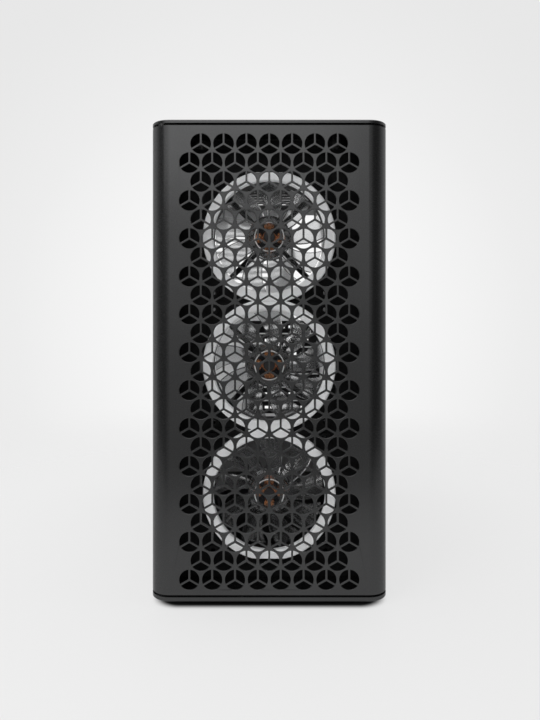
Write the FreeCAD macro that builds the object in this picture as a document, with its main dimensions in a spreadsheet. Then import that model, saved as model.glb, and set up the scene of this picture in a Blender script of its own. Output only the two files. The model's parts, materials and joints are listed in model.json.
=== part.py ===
import FreeCAD, Part
import math
import os
import Sketcher
from FreeCAD import Placement, Rotation, Vector

os.makedirs("parts", exist_ok=True)
doc = FreeCAD.newDocument("atx_case")

# Driving sizes in millimetres, plain counts and degrees where the note says so
SIZES = (
    ("case_width", 216, "outer width"),
    ("case_depth", 410, "outer depth"),
    ("case_height", 440, "outer height, feet included"),
    ("corner_radius", 18, "radius of the two front vertical corners"),
    ("rear_radius", 5, "radius of the rear corners of lid and base"),
    ("foot_height", 5, "height of the rubber feet"),
    ("foot_radius", 13, "radius of a foot"),
    ("base_thickness", 4, "thickness of the base plate"),
    ("lid_thickness", 3, "thickness of the top lid"),
    ("edge_bevel", 0.8, "bevel on the rims of lid and base"),
    ("reveal", 1.8, "shadow gap between the panels and the lid or base"),
    ("skin", 1.5, "thickness of the bent front panel"),
    ("front_depth", 46, "depth of the front panel's side returns"),
    ("steel", 1, "thickness of the steel chassis sheet"),
    ("seat_gap", 0.3, "clearance between a lift-off panel and its seat"),
    ("panel_gap", 1, "gap between the front panel and a side panel"),
    ("side_depth", 5.3, "depth of a side panel with its clearance"),
    ("glass", 4, "thickness of the glass side panel"),
    ("flange", 18, "depth of the chassis flanges behind the side panels"),
    ("cell_pitch", 20.6, "spacing of the grille cells along a row"),
    ("row_pitch", 17.1, "spacing of the grille rows"),
    ("cell_radius", 9, "radius of a round grille cell"),
    ("spoke", 1.8, "width of the three spokes in a cell"),
    ("first_row", 14.1, "height of the lowest grille row above the panel's lower edge"),
    ("fan_size", 120, "side of a square fan frame"),
    ("fan_depth", 25, "depth of a fan"),
    ("fan_pitch", 120.5, "spacing of the fans"),
    ("fan_middle", 3.5, "how far the middle fan's axis lies below half the case's height"),
    ("fan_hole", 105, "spacing of a fan's screw holes"),
    ("ring_radius", 62.2, "outer radius of the fan's light ring"),
    ("ring_gap", 0.3, "gap between the flats of two neighbouring light rings"),
    ("ring_inner", 52.4, "inner radius of the fan's light ring"),
    ("ring_depth", 6, "depth of the light ring"),
    ("duct_radius", 53, "radius of the fan duct"),
    ("blade_radius", 51.2, "radius of the blade tips"),
    ("hub_radius", 20, "radius of the rotor hub"),
    ("cap_radius", 13, "radius of the clear hub cap"),
    ("shaft_radius", 1.5, "radius of the fan shaft"),
    ("shaft_play", 0.06, "radial play of the fan shaft in its bearing"),
    ("rear_recess", 12, "how far the rear panel lies inside the rear edge"),
    ("io_space", 12, "height between the top plate and the lid"),
    ("psu_bay", 102, "height of the power supply bay"),
    ("cable_space", 16, "depth behind the motherboard tray"),
    ("standoff", 6.5, "height of the motherboard standoffs"),
    ("board_rear_gap", 2, "gap from the board's rear edge to the rear panel"),
    ("board_top_gap", 5, "gap from the board's top edge to the top plate"),
    ("slot_pitch", 20.32, "spacing of the expansion slots"),
    ("slot_width", 12.4, "height of an expansion slot opening"),
    ("cover_width", 18.4, "height of a slot cover"),
    ("drive_bay", 33, "spacing of the drive trays"),
    ("button_travel", 1.5, "travel of the two buttons"),
)
sheet = doc.addObject("Spreadsheet::Sheet", "Sizes")
for row, (alias, number, note) in enumerate(SIZES, start=1):
    sheet.set("A%d" % row, note)
    sheet.set("B%d" % row, str(number))
    sheet.setAlias("B%d" % row, alias)
doc.recompute()


class Size:
    """A number together with its formula over the sheet's cells."""

    def __init__(self, number, formula):
        self.number = number
        self.formula = formula

    def __float__(self):
        return self.number

    def __add__(self, other):
        other = as_size(other)
        return Size(self.number + other.number, "(%s + %s)" % (self.formula, other.formula))

    def __sub__(self, other):
        other = as_size(other)
        return Size(self.number - other.number, "(%s - %s)" % (self.formula, other.formula))

    def __mul__(self, other):
        other = as_size(other)
        return Size(self.number * other.number, "(%s * %s)" % (self.formula, other.formula))

    def __truediv__(self, other):
        other = as_size(other)
        return Size(self.number / other.number, "(%s / %s)" % (self.formula, other.formula))

    def __radd__(self, other):
        return as_size(other) + self

    def __rsub__(self, other):
        return as_size(other) - self

    def __rmul__(self, other):
        return as_size(other) * self

    def __neg__(self):
        return as_size(0) - self


def as_size(amount):
    """Let a plain number take part in a formula."""
    if isinstance(amount, Size):
        return amount
    return Size(float(amount), "(%r)" % float(amount))


def lesser(first, second):
    """The smaller of two sizes."""
    return Size(min(first.number, second.number), "min(%s; %s)" % (first.formula, second.formula))


class Cells:
    """The sheet's cells as sizes, by alias."""

    def __getattr__(self, alias):
        return Size(float(sheet.get(alias)), "Sizes." + alias)


dim = Cells()
nodes = []


def bind(item, name, amount):
    """Drive a property by a formula over the sheet."""
    item.setExpression(name, as_size(amount).formula)


def move(item, x, y, z):
    """Drive an object's position."""
    bind(item, "Placement.Base.x", x)
    bind(item, "Placement.Base.y", y)
    bind(item, "Placement.Base.z", z)


def node(item, label):
    """Keep an object as a sub-part of the case under its own label."""
    item.Label = label
    nodes.append(item)
    return item


def box(name, x, y, z):
    """A block between pairs of bounds."""
    block = doc.addObject("Part::Box", name)
    bind(block, "Length", x[1] - x[0])
    bind(block, "Width", y[1] - y[0])
    bind(block, "Height", z[1] - z[0])
    move(block, x[0], y[0], z[0])
    return block


AXES = {"x": Vector(1, 0, 0), "y": Vector(0, 1, 0), "z": Vector(0, 0, 1)}


def rod(name, axis, radius, length, x, y, z):
    """A round bar that starts at a point and runs along an axis."""
    bar = doc.addObject("Part::Cylinder", name)
    bar.Placement = Placement(Vector(0, 0, 0), Rotation(AXES["z"], AXES[axis]))
    bind(bar, "Radius", radius)
    bind(bar, "Height", length)
    move(bar, x, y, z)
    return bar


def group(name, items):
    """Several separate solids as one object."""
    together = doc.addObject("Part::Compound", name)
    together.Links = items
    return together


def fuse(name, items):
    """Solids joined to one."""
    joined = doc.addObject("Part::MultiFuse", name)
    joined.Shapes = items
    joined.Refine = True
    return joined


def cut(name, base, tools):
    """A solid less one or several tools."""
    result = doc.addObject("Part::Cut", name)
    result.Base = base
    result.Tool = tools[0] if len(tools) == 1 else group(name + "_tools", tools)
    result.Refine = True
    return result


def copy_of(name, form, x, y, z, turn=None):
    """A form set at a place."""
    copy = group(name, [form])
    if turn is not None:
        copy.Placement = Placement(Vector(0, 0, 0), turn)
    move(copy, x, y, z)
    return copy


def edges_where(item, test):
    """Numbers of the edges whose ends all pass a test."""
    doc.recompute([item])
    found = []
    for index, edge in enumerate(item.Shape.Edges, start=1):
        if all(test(vertex.Point) for vertex in edge.Vertexes):
            found.append(index)
    return found


def rounded(name, base, test, radius):
    """Edges of an object rounded off."""
    result = doc.addObject("Part::Fillet", name)
    result.Base = base
    result.Edges = [(index, float(radius), float(radius)) for index in edges_where(base, test)]
    return result


def bevelled(name, base, test, width):
    """Edges of an object bevelled."""
    result = doc.addObject("Part::Chamfer", name)
    result.Base = base
    result.Edges = [(index, float(width), float(width)) for index in edges_where(base, test)]
    return result


def turned(name, profile):
    """A body turned about the Z axis from a closed outline of (radius, height) points."""
    body = doc.addObject("PartDesign::Body", name)
    sketch = body.newObject("Sketcher::SketchObject", name + "_outline")
    plane = next(item for item in body.Origin.OriginFeatures if item.Role == "XZ_Plane")
    sketch.AttachmentSupport = [(plane, "")]
    sketch.MapMode = "FlatFace"
    points = [(as_size(radius), as_size(height)) for radius, height in profile]
    count = len(points)
    for index in range(count):
        start = Vector(points[index][0].number, points[index][1].number, 0)
        after = points[(index + 1) % count]
        sketch.addGeometry(Part.LineSegment(start, Vector(after[0].number, after[1].number, 0)))
    for index in range(count):
        sketch.addConstraint(Sketcher.Constraint("Coincident", index, 2, (index + 1) % count, 1))
    for index, (radius, height) in enumerate(points):
        if radius.number == 0:
            sketch.addConstraint(Sketcher.Constraint("PointOnObject", index, 1, -2))
        else:
            held = sketch.addConstraint(
                Sketcher.Constraint("DistanceX", -1, 1, index, 1, radius.number))
            sketch.setExpression("Constraints[%d]" % held, radius.formula)
        if height.number == 0:
            sketch.addConstraint(Sketcher.Constraint("PointOnObject", index, 1, -1))
        else:
            held = sketch.addConstraint(
                Sketcher.Constraint("DistanceY", -1, 1, index, 1, height.number))
            sketch.setExpression("Constraints[%d]" % held, height.formula)
    turn = body.newObject("PartDesign::Revolution", name + "_turn")
    turn.Profile = sketch
    turn.ReferenceAxis = (sketch, ["V_Axis"])
    turn.Angle = 360
    body.Tip = turn
    return body


def shaped(name, shape):
    """A shape worked out in code as a document object."""
    item = doc.addObject("Part::Feature", name)
    item.Shape = shape
    return item


def cell_outlines(u, v, radius, half_spoke, place):
    """The three openings of one round grille cell, listed clockwise."""
    outlines = []
    slip = math.asin(half_spoke / radius)
    for middle in (math.radians(150), math.radians(270), math.radians(30)):
        def at(angle, reach):
            return place(u + reach * math.cos(angle), v + reach * math.sin(angle))
        hub = at(middle, half_spoke / math.sin(math.pi / 3))
        first = at(middle + math.pi / 3 - slip, radius)
        last = at(middle - math.pi / 3 + slip, radius)
        edges = [
            Part.LineSegment(hub, first).toShape(),
            Part.Arc(first, at(middle, radius), last).toShape(),
            Part.LineSegment(last, hub).toShape(),
        ]
        outlines.append(Part.Wire(edges))
    return outlines


def cell_field(u, v, across, rows, place):
    """Openings of a field of staggered rows, centred on u and starting at v."""
    pitch = float(dim.cell_pitch)
    radius = float(dim.cell_radius)
    half_spoke = float(dim.spoke) / 2
    outlines = []
    for row in range(rows):
        count = across - row % 2
        for column in range(count):
            along = u + (column - (count - 1) / 2) * pitch
            up = v + row * float(dim.row_pitch)
            outlines += cell_outlines(along, up, radius, half_spoke, place)
    return outlines


# Places that several pieces share
half_width = dim.case_width / 2
front = -dim.case_depth / 2
rear = dim.case_depth / 2
base_low = dim.foot_height
base_high = dim.foot_height + dim.base_thickness
lid_low = dim.case_height - dim.lid_thickness
skin_low = base_high + dim.reveal
skin_high = lid_low - dim.reveal
return_end = front + dim.front_depth
frame_front = return_end + dim.seat_gap
frame_back = frame_front + dim.steel
chassis_half = half_width - dim.side_depth
rear_out = rear - dim.rear_recess
rear_in = rear_out - dim.steel
top_high = lid_low - dim.io_space
top_low = top_high - dim.steel
shroud_high = base_high + dim.psu_bay
shroud_low = shroud_high - dim.steel
tray_right = chassis_half - dim.cable_space
tray_left = tray_right - dim.steel
board_plane = tray_left - dim.standoff
board_top = top_low - dim.board_top_gap
board_rear = rear_in - dim.board_rear_gap
fan_front = frame_front - dim.fan_depth
fan_heights = [dim.case_height / 2 - dim.fan_middle + dim.fan_pitch * step for step in (-1, 0, 1)]
hole_half = dim.fan_hole / 2
side_stud_low = skin_low + 70
side_stud_high = skin_high - 70
side_stud_front = frame_back + dim.flange / 2
side_stud_rear = rear_in - dim.flange / 2
front_stud_x = chassis_half - 7.7
front_stud_low = skin_low + 40
front_stud_high = skin_high - 40
lid_stud_x = chassis_half - 12.7
lid_stud_front = frame_back + 30
lid_stud_rear = rear_in - 20
SIDES = (("left", -1), ("right", 1))


def mirrored(side, low, high):
    """A pair of bounds, taken to the other side where side is negative."""
    if side < 0:
        return (-high, -low)
    return (low, high)


# Front panel: a perforated flat between two bent returns
def bent_return(side):
    """One rounded corner with its side return, from the flat to the rear edge."""
    flat = float(half_width - dim.corner_radius)
    outside = float(half_width)
    inside = float(half_width - dim.skin)
    depth = float(front)
    bend = depth + float(dim.corner_radius)
    end = float(return_end)
    low = float(skin_low)

    def at(x, y):
        return Vector(side * x, y, low)

    def on_bend(radius, angle):
        turn = math.radians(angle)
        return at(flat + radius * math.cos(turn), bend + radius * math.sin(turn))

    wide = float(dim.corner_radius)
    tight = float(dim.corner_radius - dim.skin)
    edges = [
        Part.Arc(on_bend(wide, -90), on_bend(wide, -45), on_bend(wide, 0)).toShape(),
        Part.LineSegment(at(outside, bend), at(outside, end)).toShape(),
        Part.LineSegment(at(outside, end), at(inside, end)).toShape(),
        Part.LineSegment(at(inside, end), at(inside, bend)).toShape(),
        Part.Arc(on_bend(tight, 0), on_bend(tight, -45), on_bend(tight, -90)).toShape(),
        Part.LineSegment(on_bend(tight, -90), on_bend(wide, -90)).toShape(),
    ]
    return Part.Face(Part.Wire(edges)).extrude(Vector(0, 0, float(skin_high - skin_low)))


def front_sheet():
    """The bent sheet with its field of grille cells."""
    flat = float(half_width - dim.corner_radius)
    low = float(skin_low)
    high = float(skin_high)
    depth = float(front)

    def place(u, v):
        return Vector(u, depth, v)

    across = int((2 * flat - float(dim.cell_radius)) / float(dim.cell_pitch))
    usable = high - low - 2 * float(dim.first_row)
    rows = int(usable / float(dim.row_pitch) + 0.2) + 1
    rim = Part.makePolygon([place(-flat, low), place(flat, low), place(flat, high),
                            place(-flat, high), place(-flat, low)])
    openings = cell_field(0, low + float(dim.first_row), across, rows, place)
    plate = Part.Face([rim] + openings).extrude(Vector(0, float(dim.skin), 0))
    return plate.fuse([bent_return(-1), bent_return(1)]).removeSplitter()


node(shaped("front_sheet", front_sheet()), "front_panel")

brackets = []
for name, side in SIDES:
    wing = box("bracket_wing_" + name, mirrored(side, front_stud_x - 9, half_width - dim.skin),
               (return_end - dim.steel, return_end), (skin_low + 12, skin_high - 12))
    web = box("bracket_web_" + name,
              mirrored(side, half_width - dim.skin - dim.steel, half_width - dim.skin),
              (return_end - 22, return_end - dim.steel), (skin_low + 12, skin_high - 12))
    brackets.append(fuse("bracket_" + name, [wing, web]))
node(group("brackets_both", brackets), "front_panel_brackets")

# Ball studs and their sockets
STUD_REACH = 9.0
STUD_RADIUS = 2.5
SOCKET_BORE = 2.8
SOCKET_RADIUS = 5.0
SOCKET_LENGTH = 8.0


def stud_form(name, collar):
    """A ball stud that points up the Z axis from its seat, on a collar of a given height."""
    foot = as_size(collar)
    outline = [(0, 0), (4, 0), (4, foot + 0.6), (1.8, foot + 0.6), (1.8, foot + 5),
               (STUD_RADIUS - 0.4, foot + 5.5), (STUD_RADIUS, foot + 6.4), (STUD_RADIUS, foot + 7.4),
               (STUD_RADIUS - 0.9, foot + STUD_REACH), (0, foot + STUD_REACH)]
    return turned(name, outline)


def stud_set(label, form, places, turn):
    """Studs of one panel as a group."""
    studs = []
    for index, (x, y, z) in enumerate(places, start=1):
        studs.append(copy_of("%s_%d" % (label, index), form, x, y, z, turn))
    return node(group(label + "_all", studs), label)


TO_RIGHT = Rotation(AXES["z"], AXES["x"])
TO_LEFT = Rotation(AXES["z"], Vector(-1, 0, 0))
TO_REAR = Rotation(AXES["z"], AXES["y"])
TO_FRONT = Rotation(AXES["z"], Vector(0, -1, 0))
DOWN = Rotation(AXES["x"], 180)
stud_heights = (side_stud_low, side_stud_high)
stud_depths = (side_stud_front, side_stud_rear)
short_stud = turned("short_stud", [
    (0, 0), (1.8, 0), (1.8, 5), (STUD_RADIUS - 0.4, 5.5), (STUD_RADIUS, 6.4), (STUD_RADIUS, 7.4),
    (STUD_RADIUS - 0.9, STUD_REACH), (0, STUD_REACH)])
side_collar = dim.side_depth - dim.steel - dim.seat_gap
tall_stud = stud_form("tall_stud", side_collar - 0.6)
strip_face = half_width - dim.side_depth + dim.seat_gap
stud_set("front_panel_studs", short_stud,
         [(side * front_stud_x, return_end, z)
          for side in (-1, 1) for z in (front_stud_low, front_stud_high)],
         TO_REAR)
stud_set("left_glass_studs", short_stud,
         [(-strip_face, y, z) for y in stud_depths for z in stud_heights], TO_RIGHT)
stud_set("right_panel_studs", tall_stud,
         [(half_width - dim.steel, y, z) for y in stud_depths for z in stud_heights], TO_LEFT)
stud_set("top_lid_studs", short_stud,
         [(side * lid_stud_x, y, lid_low) for side in (-1, 1) for y in (lid_stud_front, lid_stud_rear)],
         DOWN)

socket = turned("socket_form", [(SOCKET_BORE, 0), (SOCKET_RADIUS, 0), (SOCKET_RADIUS, SOCKET_LENGTH),
                                (SOCKET_BORE, SOCKET_LENGTH)])
post_height = dim.io_space - dim.seat_gap
post = turned("post_form", [(SOCKET_BORE, 0), (SOCKET_RADIUS, 0), (SOCKET_RADIUS, post_height),
                            (SOCKET_BORE, post_height)])
sockets = []
for name, side in SIDES:
    turn = TO_RIGHT if side < 0 else TO_LEFT
    for y in stud_depths:
        for z in stud_heights:
            sockets.append(copy_of("socket_%d" % len(sockets), socket,
                                   side * (chassis_half - dim.steel), y, z, turn))
    for z in (front_stud_low, front_stud_high):
        sockets.append(copy_of("socket_%d" % len(sockets), socket, side * front_stud_x, frame_back, z,
                               TO_REAR))
    for y in (lid_stud_front, lid_stud_rear):
        sockets.append(copy_of("socket_%d" % len(sockets), post, side * lid_stud_x, y, top_high))
node(group("sockets_all", sockets), "panel_sockets")

# Chassis sheets
STUD_HOLE = 3.2
frame_plate = box("frame_plate", (-chassis_half, chassis_half), (frame_front, frame_back),
                  (base_high, top_high))
frame_parts = [frame_plate]
for name, side in SIDES:
    frame_parts.append(box("frame_flange_" + name,
                           mirrored(side, chassis_half - dim.steel, chassis_half),
                           (frame_back, frame_back + dim.flange), (base_high, top_low)))
frame_tools = []
for index, height in enumerate(fan_heights, start=1):
    frame_tools.append(rod("frame_fan_%d" % index, "y", dim.duct_radius, dim.steel + 2,
                           0, frame_front - 1, height))
    for x in (-hole_half, hole_half):
        for z in (-hole_half, hole_half):
            frame_tools.append(rod("frame_hole_%d" % len(frame_tools), "y", 2.3, dim.steel + 2,
                                   x, frame_front - 1, height + z))
for side in (-1, 1):
    for z in (front_stud_low, front_stud_high):
        frame_tools.append(rod("frame_stud_%d" % len(frame_tools), "y", STUD_HOLE, dim.steel + 2,
                               side * front_stud_x, frame_front - 1, z))
for name, side in SIDES:
    for z in stud_heights:
        frame_tools.append(rod("frame_side_stud_%d" % len(frame_tools), "x", STUD_HOLE, dim.steel + 2,
                               side * chassis_half - (dim.steel + 2) / 2 - side * dim.steel / 2,
                               side_stud_front, z))
node(cut("front_frame_cut", fuse("front_frame_joined", frame_parts), frame_tools), "front_frame")

IO_WIDTH = 44.45
IO_HEIGHT = 158.75
io_high_x = board_plane
io_low_x = board_plane - IO_WIDTH
io_high = board_top - 3
io_low = io_high - IO_HEIGHT
BOARD_HEIGHT = 304.8
COVER_SHEET = 0.8
slot_low = board_top - BOARD_HEIGHT + 10.5
slot_heights = [slot_low + dim.slot_pitch * index for index in range(7)]
slot_tab = board_plane - 116
shelf_face = slot_tab + COVER_SHEET
vent_x = (io_low_x - chassis_half) / 2
vent_z = io_high - 62
PSU_WIDTH = 150.0
PSU_HEIGHT = 86.0
psu_left = -PSU_WIDTH / 2
psu_low = base_high + 3
rear_parts = [box("rear_plate", (-chassis_half, chassis_half), (rear_in, rear_out), (base_high, top_high))]
for name, side in SIDES:
    rear_parts.append(box("rear_flange_" + name,
                          mirrored(side, chassis_half - dim.steel, chassis_half),
                          (rear_in - dim.flange, rear_in), (base_high, top_low)))
shelf_bar = box("shelf_bar", (shelf_face, shelf_face + 1.2), (rear_out, rear_out + 11),
                (slot_low - 10, slot_low + dim.slot_pitch * 6 + 10))
shelf_tools = [rod("shelf_hole_%d" % index, "x", 1.75, 3, shelf_face - 1, rear_out + 6, height)
               for index, height in enumerate(slot_heights, start=1)]
node(cut("shelf_cut", shelf_bar, shelf_tools), "slot_shelf")
through = (rear_in - 1, rear_out + 1)
rear_tools = [
    box("io_window", (io_low_x, io_high_x), through, (io_low, io_high)),
    box("psu_window", (as_size(psu_left + 12), as_size(psu_left + PSU_WIDTH - 12)), through,
        (psu_low + 12, psu_low + PSU_HEIGHT - 12)),
]
for index, height in enumerate(slot_heights, start=1):
    rear_tools.append(box("slot_window_%d" % index, (slot_tab - 0.7, board_plane - 8), through,
                          (height - dim.slot_width / 2, height + dim.slot_width / 2)))
VENT_REACH = 56.0
VENT_ROWS = 11
for index in range(VENT_ROWS):
    drop = (index - (VENT_ROWS - 1) / 2) * 9.6
    reach = math.sqrt(VENT_REACH * VENT_REACH - drop * drop)
    rear_tools.append(box("vent_slot_%d" % index, (vent_x - reach, vent_x + reach), through,
                          (vent_z + (drop - 2.7), vent_z + (drop + 2.7))))
for x in (-hole_half, hole_half):
    for z in (-hole_half, hole_half):
        rear_tools.append(rod("rear_fan_hole_%d" % len(rear_tools), "y", 2.25, dim.steel + 2,
                              vent_x + x, rear_in - 1, vent_z + z))
PSU_HOLES = ((6, 80), (144, 80), (6, 16), (120, 6))
for across, up in PSU_HOLES:
    rear_tools.append(rod("psu_hole_%d" % len(rear_tools), "y", 2, dim.steel + 2,
                          as_size(psu_left + across), rear_in - 1, psu_low + up))
for name, side in SIDES:
    for z in stud_heights:
        rear_tools.append(rod("rear_side_stud_%d" % len(rear_tools), "x", STUD_HOLE, dim.steel + 2,
                              side * chassis_half - (dim.steel + 2) / 2 - side * dim.steel / 2,
                              side_stud_rear, z))
node(cut("rear_panel_cut", fuse("rear_panel_joined", rear_parts), rear_tools), "rear_panel")

for index, height in enumerate(slot_heights, start=1):
    strip = box("cover_strip_%d" % index, (slot_tab, board_plane - 3), (rear_in - COVER_SHEET, rear_in),
                (height - dim.cover_width / 2, height + dim.cover_width / 2))
    tab = box("cover_tab_%d" % index, (slot_tab, slot_tab + COVER_SHEET), (rear_in, rear_out + 10.5),
              (height - 5.6, height + 5.6))
    tools = [rod("cover_hole_%d" % index, "x", 1.75, 3, slot_tab - 1, rear_out + 6, height)]
    for place in range(5):
        start = slot_tab + 12 + place * 18
        tools.append(box("cover_vent_%d_%d" % (index, place), (start, start + 12),
                         (rear_in - COVER_SHEET - 1, rear_in + 1), (height - 2, height + 2)))
    node(cut("cover_cut_%d" % index, fuse("cover_joined_%d" % index, [strip, tab]), tools),
         "slot_cover_%d" % index)
slot_screw = turned("slot_screw_form", [(0, 0), (3.2, 0), (3.2, 1.6), (2.4, 2.2), (0, 2.2)])
slot_shank = turned("slot_shank_form", [(0, -5), (1.6, -5), (1.6, 0), (0, 0)])
slot_screw_whole = fuse("slot_screw_whole", [slot_screw, slot_shank])
node(group("slot_screws_all", [copy_of("slot_screw_%d" % index, slot_screw_whole, slot_tab, rear_out + 6,
                                       height, TO_LEFT)
                               for index, height in enumerate(slot_heights, start=1)]), "slot_screws")

top_plate = box("top_sheet", (-chassis_half, chassis_half), (frame_back, rear_in), (top_low, top_high))
TOP_SLOTS = 14
slot_start = frame_back + 62
slot_room = (rear_in - frame_back - 62 - 30) / TOP_SLOTS
top_tools = []
for index in range(TOP_SLOTS):
    low = slot_start + slot_room * index
    top_tools.append(box("top_slot_%d" % index, (as_size(-75), as_size(75)), (low, low + slot_room * 0.6),
                         (top_low - 1, top_high + 1)))
node(cut("top_plate_cut", top_plate, top_tools), "top_plate")

shroud_rear = rear_in - COVER_SHEET - dim.seat_gap
shroud_top = box("shroud_top", (-chassis_half + dim.steel, tray_left), (frame_back, shroud_rear),
                 (shroud_low, shroud_high))
shroud_wall = box("shroud_wall", (-chassis_half + dim.steel, -chassis_half + 2 * dim.steel),
                  (frame_back + dim.flange + 2, rear_in - dim.flange - 2), (base_high, shroud_low))
socket_keep = [box("shroud_notch_" + name, (-chassis_half, -chassis_half + 12), bounds,
                   (shroud_low - 1, shroud_high + 1))
               for name, bounds in (("front", (frame_back - 1, frame_back + dim.flange + 2)),
                                    ("rear", (rear_in - dim.flange - 2, rear_in + 1)))]
shroud_slots = []
for index in range(9):
    low = rear_in - 150 + index * 13
    shroud_slots.append(box("shroud_slot_%d" % index, (as_size(-55), as_size(45)), (low, low + 7),
                            (shroud_low - 1, shroud_high + 1)))
node(cut("psu_shroud_cut", fuse("psu_shroud_joined", [shroud_top, shroud_wall]),
         socket_keep + shroud_slots), "psu_shroud")

HOLE_COLUMNS = (10.16, 167.64, 237.49)
HOLE_ROWS = (6.35, 133.35, 288.29)
tray_low = lesser(shroud_low - 6, board_top - (HOLE_ROWS[-1] + 5))
tray_plate = box("tray_plate", (tray_left, tray_right), (frame_back, rear_in), (tray_low, top_low))
tray_through = (tray_left - 1, tray_right + 1)
tray_tools = [box("cpu_window", tray_through, (board_rear - 155, board_rear - 35),
                  (board_top - 125, board_top - 15))]
CABLE_WINDOW = 60.0
lowest_window = shroud_high + 25
highest_window = top_low - 28 - CABLE_WINDOW
window_lows = (lowest_window, (lowest_window + highest_window) / 2, highest_window)
for index, low in enumerate(window_lows, start=1):
    tray_tools.append(box("cable_window_%d" % index, tray_through,
                          (board_rear - 280, board_rear - 256), (low, low + CABLE_WINDOW)))
node(cut("tray_cut", tray_plate, tray_tools), "motherboard_tray")

standoff_bore = 1.45
standoff_form = turned("standoff_form", [
    (0, 0), (2.9, 0), (2.9, dim.standoff), (standoff_bore, dim.standoff),
    (standoff_bore, 0.8), (0, 0.8)])
standoffs = []
for back in HOLE_COLUMNS:
    for down in HOLE_ROWS:
        standoffs.append(copy_of("standoff_%d" % len(standoffs), standoff_form, tray_left,
                                 board_rear - back, board_top - down, TO_LEFT))
node(group("standoffs_all", standoffs), "motherboard_standoffs")

# Base plate with filter rails, feet and the dust filter
base_block = box("base_block", (-half_width, half_width), (front, rear), (base_low, base_high))
base_front = rounded("base_front_round", base_block,
                     lambda point: point.y < float(front) + 0.01, dim.corner_radius)
base_front.Edges = [entry for entry in base_front.Edges
                    if base_block.Shape.Edges[entry[0] - 1].BoundBox.ZLength > 1]
base_round = rounded("base_round", base_front, lambda point: point.y > float(rear) - 0.01, dim.rear_radius)
base_round.Edges = [entry for entry in base_round.Edges
                    if base_front.Shape.Edges[entry[0] - 1].BoundBox.ZLength > 1]
base_bevel = bevelled("base_bevel", base_round,
                      lambda point: abs(point.z - float(base_low)) < 0.01, dim.edge_bevel)
filter_half = 70.0
filter_front = rear - 195
filter_rear = rear - 12
base_tools = []
for index in range(12):
    low = filter_front + 18 + index * 12.5
    base_tools.append(box("base_slot_%d" % index, (as_size(-58), as_size(58)), (low, low + 6.5),
                          (base_low - 1, base_high + 1)))
base_vented = cut("base_vented", base_bevel, base_tools)
rails = []
for name, side in SIDES:
    web = box("rail_web_" + name, mirrored(side, as_size(filter_half + 0.4), as_size(filter_half + 2)),
              (filter_front, filter_rear - 8), (base_low - 4, base_low))
    lip = box("rail_lip_" + name, mirrored(side, as_size(filter_half - 4), as_size(filter_half + 2)),
              (filter_front, filter_rear - 8), (base_low - 4, base_low - 3))
    rails += [web, lip]
node(fuse("base_plate_joined", [base_vented] + rails), "base_plate")

foot = turned("foot_form", [
    (0, 0), (dim.foot_radius - 1.5, 0), (dim.foot_radius - 0.4, 0.6), (dim.foot_radius, dim.foot_height - 1),
    (dim.foot_radius, dim.foot_height), (0, dim.foot_height)])
corner_marks = ((-1, 1, "front_left"), (1, 1, "front_right"), (-1, -1, "rear_left"), (1, -1, "rear_right"))
for side, end, name in corner_marks:
    foot_y = front + 42 if end > 0 else rear - 32
    node(copy_of("foot_" + name + "_placed", foot, side * (half_width - 20), foot_y, 0), "foot_" + name)

filter_low = base_low - 2.7
filter_high = base_low - 0.5
filter_block = box("filter_block", (as_size(-filter_half), as_size(filter_half)), (filter_front, filter_rear),
                   (filter_low, filter_high))
filter_tools = []
for column in range(2):
    for line in range(2):
        x = -filter_half + 6 + column * (filter_half - 3)
        span = (filter_rear - filter_front - 15) / 2
        y = filter_front + 5 + (span + 5) * line
        window = ((as_size(x), as_size(x + filter_half - 9)), (y, y + span))
        filter_tools.append(box("filter_dip_%d_%d" % (column, line), window[0], window[1],
                                (filter_low + 1.2, filter_high + 1)))
        filter_tools.append(box("filter_dish_%d_%d" % (column, line), window[0], window[1],
                                (filter_low - 1, filter_low + 0.7)))
node(cut("filter_cut", filter_block, filter_tools), "psu_filter")

# Top lid
io_depth = frame_back + 22
POWER_X = -48.0
RESET_X = -29.0
USB_C_X = -12.0
USB_A_XS = (8.0, 28.0)
AUDIO_X = 46.0
POWER_RADIUS = 6.7
RESET_RADIUS = 3.0
JACK_RADIUS = 3.0
FIT = 0.3
STRIP_MIDDLE = -2.0
STRIP_LENGTH = 124.0
STRIP_WIDTH = 22.0


def rounded_rim(low_x, high_x, low_y, high_y, front_radius, rear_radius, height):
    """A closed outline with its own radius at the front and the rear corners."""
    corners = ((high_x, low_y, front_radius, -90), (high_x, high_y, rear_radius, 0),
               (low_x, high_y, rear_radius, 90), (low_x, low_y, front_radius, 180))
    arcs = []
    for x, y, radius, start in corners:
        centre = Vector(x - math.copysign(radius, x), y - math.copysign(radius, y), height)

        def on_arc(angle):
            turn = math.radians(angle)
            return centre + Vector(radius * math.cos(turn), radius * math.sin(turn), 0)

        arcs.append((on_arc(start), on_arc(start + 45), on_arc(start + 90)))
    edges = []
    for index, (first, middle, last) in enumerate(arcs):
        edges.append(Part.Arc(first, middle, last).toShape())
        edges.append(Part.LineSegment(last, arcs[(index + 1) % 4][0]).toShape())
    return Part.Wire(edges)


def strip_outline(middle, half_length, half_width, height):
    """The round-ended window over buttons and ports, listed clockwise."""
    reach = half_length - half_width
    x, y = middle
    corners = [Vector(x - reach, y - half_width, height), Vector(x - reach, y + half_width, height),
               Vector(x + reach, y + half_width, height), Vector(x + reach, y - half_width, height)]
    edges = [
        Part.Arc(corners[0], Vector(x - half_length, y, height), corners[1]).toShape(),
        Part.LineSegment(corners[1], corners[2]).toShape(),
        Part.Arc(corners[2], Vector(x + half_length, y, height), corners[3]).toShape(),
        Part.LineSegment(corners[3], corners[0]).toShape(),
    ]
    return Part.Wire(edges)


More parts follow.
